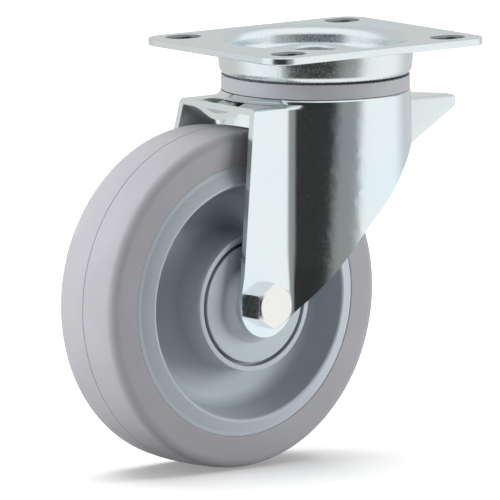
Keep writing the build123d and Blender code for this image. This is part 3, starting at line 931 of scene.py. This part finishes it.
class CASTOR_OT_stage(bpy.types.Operator):
    """Set up the pale floor, the white surroundings, the soft lamps and the camera"""

    bl_idname = "castor.stage"
    bl_label = "Stage"

    def execute(self, context):
        self.make_floor(context)
        self.make_world(context)
        self.make_lamps(context)
        self.make_camera(context)
        return {"FINISHED"}

    def make_floor(self, context):
        stage = context.scene.castor_stage
        half = stage.floor_size / 2
        mesh = bmesh.new()
        corners = [(-half, -half), (half, -half), (half, half), (-half, half)]
        mesh.faces.new([mesh.verts.new((x, y, FLOOR_LEVEL)) for x, y in corners])
        data = bpy.data.meshes.new("studio_floor")
        mesh.to_mesh(data)
        mesh.free()
        floor = bpy.data.objects.new("studio_floor", data)
        context.scene.collection.objects.link(floor)
        material, tree, shader = principled("studio_white")
        mottled(tree, shader, noise(tree, 2, 2), (0.84, 0.84, 0.84), (0.86, 0.86, 0.86))
        shader.inputs["Roughness"].default_value = 0.9
        shader.inputs["Specular IOR Level"].default_value = 0.0
        shader.inputs["Emission Color"].default_value = (1, 1, 1, 1)
        path = tree.nodes.new("ShaderNodeLightPath")
        place = tree.nodes.new("ShaderNodeTexCoord")
        away = tree.nodes.new("ShaderNodeVectorMath")
        away.operation = "DISTANCE"
        away.inputs[1].default_value = (AXLE.x, AXLE.y, FLOOR_LEVEL)
        tree.links.new(place.outputs["Object"], away.inputs[0])
        far = self.smooth(tree, away.outputs["Value"], stage.lift_start, stage.lift_end)
        lift = self.level(tree, far, stage.floor_lift, 1.0)
        seen = self.times(tree, path.outputs["Is Camera Ray"], lift)
        tree.links.new(seen, shader.inputs["Emission Strength"])
        data.materials.append(material)
        floor.visible_glossy = False

    def make_world(self, context):
        stage = context.scene.castor_stage
        world = bpy.data.worlds.new("studio_world")
        context.scene.world = world
        world.use_nodes = True
        tree = world.node_tree
        tree.nodes.clear()
        output = tree.nodes.new("ShaderNodeOutputWorld")
        direction = tree.nodes.new("ShaderNodeTexCoord").outputs["Generated"]
        split = tree.nodes.new("ShaderNodeSeparateXYZ")
        tree.links.new(direction, split.inputs[0])
        heading = self.heading(tree, direction, stage.yaw)
        soft = stage.flag_soft
        left = self.smooth(tree, heading, stage.flag_left - soft, stage.flag_left + soft)
        right = self.smooth(tree, heading, stage.flag_right + soft, stage.flag_right - soft)
        grey = self.smooth(tree, heading, stage.grey_right + soft, stage.grey_right - soft)
        above = self.smooth(tree, split.outputs["Z"], *(math.sin(rise) for rise in FLAG_TOP))
        below = self.smooth(tree, split.outputs["Z"], *(math.sin(rise) for rise in FLAG_FOOT))
        height = self.times(tree, above, below)
        band = self.times(tree, self.times(tree, left, grey), height)
        core = self.times(tree, self.times(tree, left, right), height)
        path = tree.nodes.new("ShaderNodeLightPath")
        wide = 2 * soft
        from_left = self.smooth(tree, heading, stage.side_left - wide, stage.side_left + wide)
        from_right = self.smooth(tree, heading, stage.side_right + wide, stage.side_right - wide)
        sides = self.times(tree, from_left, from_right)
        walls = self.level(tree, sides, stage.back_white, stage.side_white)
        shown = self.level(tree, path.outputs["Is Glossy Ray"], stage.surround, walls)
        edged = self.level(tree, band, shown, stage.flag_grey)
        flagged = self.level(tree, core, edged, stage.flag_dark)
        light = tree.nodes.new("ShaderNodeBackground")
        light.inputs["Color"].default_value = (1, 1, 1, 1)
        tree.links.new(flagged, light.inputs["Strength"])
        white = tree.nodes.new("ShaderNodeBackground")
        white.inputs["Color"].default_value = (1, 1, 1, 1)
        white.inputs["Strength"].default_value = 1.0
        mix = tree.nodes.new("ShaderNodeMixShader")
        tree.links.new(path.outputs["Is Camera Ray"], mix.inputs["Fac"])
        tree.links.new(light.outputs[0], mix.inputs[1])
        tree.links.new(white.outputs[0], mix.inputs[2])
        tree.links.new(mix.outputs[0], output.inputs["Surface"])

    @staticmethod
    def smooth(tree, value, start, end):
        """Smooth step from 0 at start to 1 at end."""
        node = tree.nodes.new("ShaderNodeMapRange")
        node.interpolation_type = "SMOOTHSTEP"
        node.inputs["From Min"].default_value = start
        node.inputs["From Max"].default_value = end
        tree.links.new(value, node.inputs["Value"])
        return node.outputs["Result"]

    @staticmethod
    def heading(tree, direction, yaw):
        """Angle of a direction right of the camera, worked out from its x and y."""
        turn = tree.nodes.new("ShaderNodeMath")
        turn.operation = "ARCTAN2"
        across = tree.nodes.new("ShaderNodeVectorMath")
        across.operation = "DOT_PRODUCT"
        across.inputs[1].default_value = (math.cos(yaw), -math.sin(yaw), 0)
        towards = tree.nodes.new("ShaderNodeVectorMath")
        towards.operation = "DOT_PRODUCT"
        towards.inputs[1].default_value = (-math.sin(yaw), -math.cos(yaw), 0)
        for node in (across, towards):
            tree.links.new(direction, node.inputs[0])
        tree.links.new(across.outputs["Value"], turn.inputs[0])
        tree.links.new(towards.outputs["Value"], turn.inputs[1])
        return turn.outputs[0]

    @staticmethod
    def level(tree, factor, start, end):
        """Value from start to end, each a number or a socket."""
        node = tree.nodes.new("ShaderNodeMapRange")
        tree.links.new(factor, node.inputs["Value"])
        for name, value in (("To Min", start), ("To Max", end)):
            if isinstance(value, float):
                node.inputs[name].default_value = value
            else:
                tree.links.new(value, node.inputs[name])
        return node.outputs["Result"]

    @staticmethod
    def times(tree, first, second):
        """Product of two values."""
        node = tree.nodes.new("ShaderNodeMath")
        node.operation = "MULTIPLY"
        tree.links.new(first, node.inputs[0])
        tree.links.new(second, node.inputs[1])
        return node.outputs[0]

    def make_lamps(self, context):
        """Give the floor a lamp of its own, and let the others light the castor only."""
        groups = {
            True: bpy.data.collections.new("lit_floor"),
            False: bpy.data.collections.new("lit_castor"),
        }
        for item in context.scene.objects:
            if item.type == "MESH":
                groups[item.name == "studio_floor"].objects.link(item)
        for name, place, size, power, on_floor in LAMPS:
            lamp = new_light(name, place, size, power)
            lamp.light_linking.receiver_collection = groups[on_floor]

    def make_camera(self, context):
        stage = context.scene.castor_stage
        yaw = stage.yaw
        pitch = stage.pitch
        level = math.cos(pitch)
        ahead = Vector((math.sin(yaw) * level, math.cos(yaw) * level, -math.sin(pitch)))
        right = Vector((math.cos(yaw), -math.sin(yaw), 0))
        aim = stage.aim_right * right + Vector((0, 0, stage.aim_up))
        data = bpy.data.cameras.new("camera")
        data.sensor_width = 36
        data.lens = stage.lens
        data.clip_end = 100
        camera = bpy.data.objects.new("camera", data)
        context.scene.collection.objects.link(camera)
        camera.location = aim - stage.distance * ahead
        camera.rotation_euler = ahead.to_track_quat("-Z", "Y").to_euler()
        context.scene.camera = camera
        context.scene.view_settings.view_transform = "Standard"


class CASTOR_PT_panel(bpy.types.Panel):
    """Lists the castor's pieces and settings"""

    bl_label = "Swivel castor"
    bl_space_type = "VIEW_3D"
    bl_region_type = "UI"
    bl_category = "Castor"

    def draw(self, context):
        column = self.layout.column()
        for operator in OPERATORS:
            column.operator(operator.bl_idname)
        for group in SETTINGS:
            box = self.layout.box()
            settings = getattr(context.scene, group)
            for field in settings.__annotations__:
                box.prop(settings, field)


SETTINGS = {
    "castor_finishes": CastorFinishes,
    "castor_tyre": CastorTyre,
    "castor_wheel": CastorWheel,
    "castor_plate": CastorPlate,
    "castor_fork": CastorFork,
    "castor_edges": CastorEdges,
    "castor_stage": CastorStage,
}

OPERATORS = (
    CASTOR_OT_plain_nodes,
    CASTOR_OT_top_plate,
    CASTOR_OT_swivel_seal,
    CASTOR_OT_fork,
    CASTOR_OT_tyre,
    CASTOR_OT_wheel_centre,
    CASTOR_OT_thread_guards,
    CASTOR_OT_axle_fasteners,
    CASTOR_OT_stage,
)


def register():
    """Register the classes and hang their settings on the scene."""
    for group in SETTINGS.values():
        bpy.utils.register_class(group)
    for name, group in SETTINGS.items():
        setattr(bpy.types.Scene, name, PointerProperty(type=group))
    for item in (*OPERATORS, CASTOR_PT_panel):
        bpy.utils.register_class(item)


def unregister():
    """Take the classes and their settings away again."""
    for item in reversed((*OPERATORS, CASTOR_PT_panel)):
        bpy.utils.unregister_class(item)
    for name in SETTINGS:
        delattr(bpy.types.Scene, name)
    for group in SETTINGS.values():
        bpy.utils.unregister_class(group)


def main():
    """Make every piece in order."""
    register()
    bpy.ops.castor.plain_nodes()
    bpy.ops.castor.top_plate()
    bpy.ops.castor.swivel_seal()
    bpy.ops.castor.fork()
    bpy.ops.castor.tyre()
    bpy.ops.castor.wheel_centre()
    bpy.ops.castor.thread_guards()
    bpy.ops.castor.axle_fasteners()
    bpy.ops.castor.stage()


if __name__ == "__main__":
    main()
